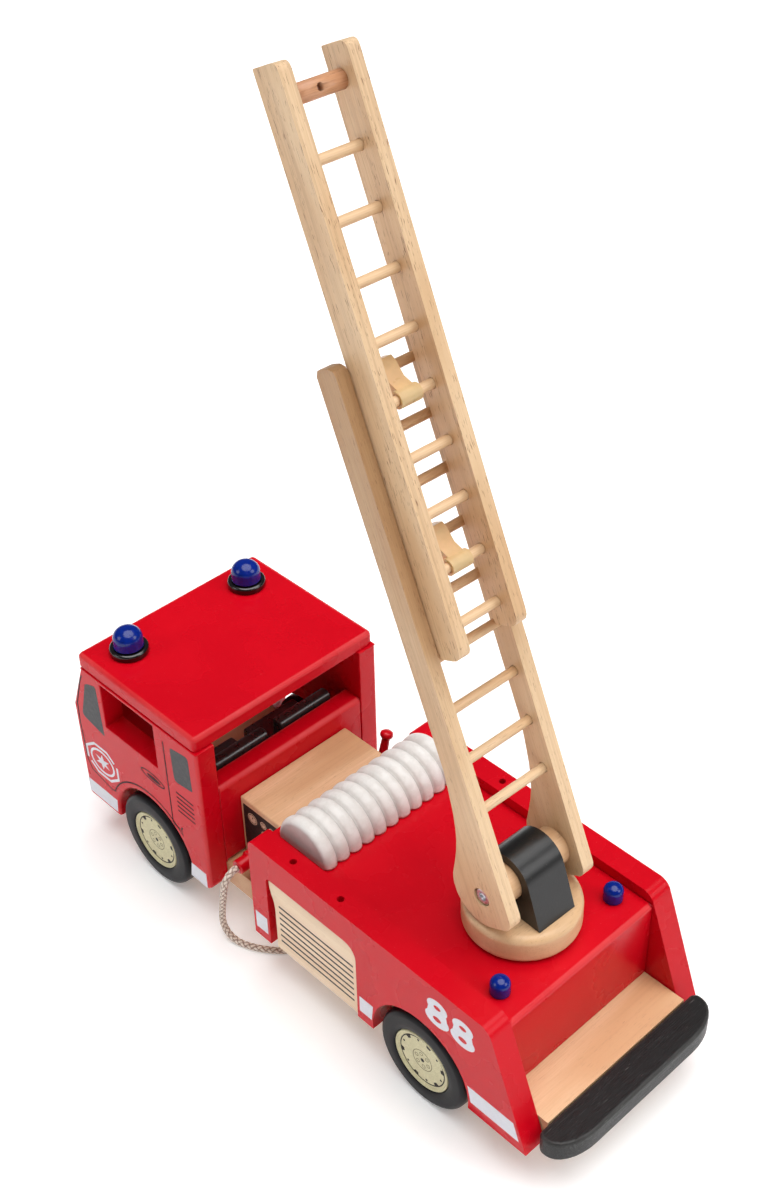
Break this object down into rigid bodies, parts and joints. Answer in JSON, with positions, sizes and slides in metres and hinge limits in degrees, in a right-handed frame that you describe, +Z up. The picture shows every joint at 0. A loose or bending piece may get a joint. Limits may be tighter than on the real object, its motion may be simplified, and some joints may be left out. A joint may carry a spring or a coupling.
{
  "type": "toy fire engine",
  "caption": "Wooden toy fire engine with an open-windowed cab, a rope hose, a ribbed hose roll and a swivelling, tilting, extending ladder on rubber-tyred wheels.",
  "frame": {"origin": "on the floor under the middle of the vehicle, leaving out the rope hose and its nozzle", "axes": "+Z up, +X towards the vehicle's left side, the cab faces -Y"},
  "size_m": [0.1667, 0.4514, 0.5992],
  "materials": {
    "red_paint": "gloss red paint over wood",
    "beech": "clear satin lacquer over pale beech",
    "warm_beech": "clear satin lacquer over warm beech",
    "cream_wood": "clear matt lacquer with a printed rim",
    "black_paint": "black paint, worn glossy",
    "black_stain": "black stain with open grain and scratches",
    "white_paint": "white satin paint",
    "tyre_rubber": "smooth matt rubber",
    "blue_lacquer": "high gloss",
    "hook_plastic": "moulded, satin",
    "bolt_steel": "plated, polished",
    "rope": "soft braided cotton"
  },
  "bodies": {
    "vehicle": {"chassis_board": "warm_beech", "cab_side_left": "red_paint", "cab_side_right": "red_paint", "cab_roof": "red_paint", "cab_front": "red_paint", "cab_rear_wall": "red_paint", "seat_left": "black_paint", "seat_right": "black_paint", "beacon_base_left": "black_paint", "beacon_base_right": "black_paint", "beacon_dome_left": "blue_lacquer", "beacon_dome_right": "blue_lacquer", "pump_box": "warm_beech", "hose_outlet": "red_paint", "hose_rest": "red_paint", "hose_nozzle": "red_paint", "rope_hose": "rope", "body_side_left": "red_paint", "body_side_right": "red_paint", "locker_panel_left": "beech", "locker_panel_right": "beech", "deck": "red_paint", "body_front_wall": "red_paint", "body_rear_wall": "red_paint", "rear_bumper": "black_stain", "hose_roll": "white_paint", "deck_knob_left": "blue_lacquer", "deck_knob_right": "blue_lacquer"},
    "front_wheels": {"front_axle": "beech", "front_tyre_left": "tyre_rubber", "front_tyre_right": "tyre_rubber", "front_wheel_disc_left": "cream_wood", "front_wheel_disc_right": "cream_wood"},
    "rear_wheels": {"rear_axle": "beech", "rear_tyre_left": "tyre_rubber", "rear_tyre_right": "tyre_rubber", "rear_wheel_disc_left": "cream_wood", "rear_wheel_disc_right": "cream_wood"},
    "turntable": {"turntable": "beech", "turntable_pin": "beech", "pedestal": "black_paint"},
    "lower_ladder": {"pivot_dowel": "warm_beech", "pivot_bolt_left": "bolt_steel", "pivot_bolt_right": "bolt_steel", "lower_rail_left": "beech", "lower_rail_right": "beech", "lower_rung_1": "beech", "lower_rung_2": "beech", "lower_rung_3": "beech", "lower_rung_4": "beech", "lower_rung_5": "beech", "lower_rung_6": "beech", "lower_rung_7": "beech", "lower_rung_8": "beech", "lower_rung_9": "beech"},
    "upper_ladder": {"upper_rail_left_with_rungs": "beech", "upper_rail_right": "beech", "upper_top_bar": "warm_beech"},
    "hook_1": {"ladder_hook_1": "hook_plastic"},
    "hook_2": {"ladder_hook_2": "hook_plastic"}
  },
  "joints": [
    {"name": "front_wheels_roll", "type": "hinge", "parent": "vehicle", "child": "front_wheels", "pos_m": [0, -0.147, 0.036], "axis": [1, 0, 0], "continuous": true},
    {"name": "rear_wheels_roll", "type": "hinge", "parent": "vehicle", "child": "rear_wheels", "pos_m": [0, 0.1145, 0.036], "axis": [1, 0, 0], "continuous": true},
    {"name": "turntable_turn", "type": "hinge", "parent": "vehicle", "child": "turntable", "pos_m": [0, 0.1223, 0.1096], "axis": [0, 0, 1], "continuous": true},
    {"name": "ladder_tilt", "type": "hinge", "parent": "turntable", "child": "lower_ladder", "pos_m": [0, 0.1223, 0.1537], "axis": [0.9996, -0.029, 0], "range_deg": [-24, 59]},
    {"name": "ladder_extend", "type": "slide", "parent": "lower_ladder", "child": "upper_ladder", "axis": [-0.0117, -0.4045, 0.9145], "range_m": [-0.09525, 0.09525]},
    {"name": "hook_1_lift", "type": "hinge", "parent": "upper_ladder", "child": "hook_1", "pos_m": [-0.00167, 0.06479, 0.34624], "axis": [-0.9996, 0.029, 0], "range_deg": [0, 80]},
    {"name": "hook_2_lift", "type": "hinge", "parent": "upper_ladder", "child": "hook_2", "pos_m": [-0.00278, 0.02626, 0.43334], "axis": [-0.9996, 0.029, 0], "range_deg": [0, 80]}
  ]
}
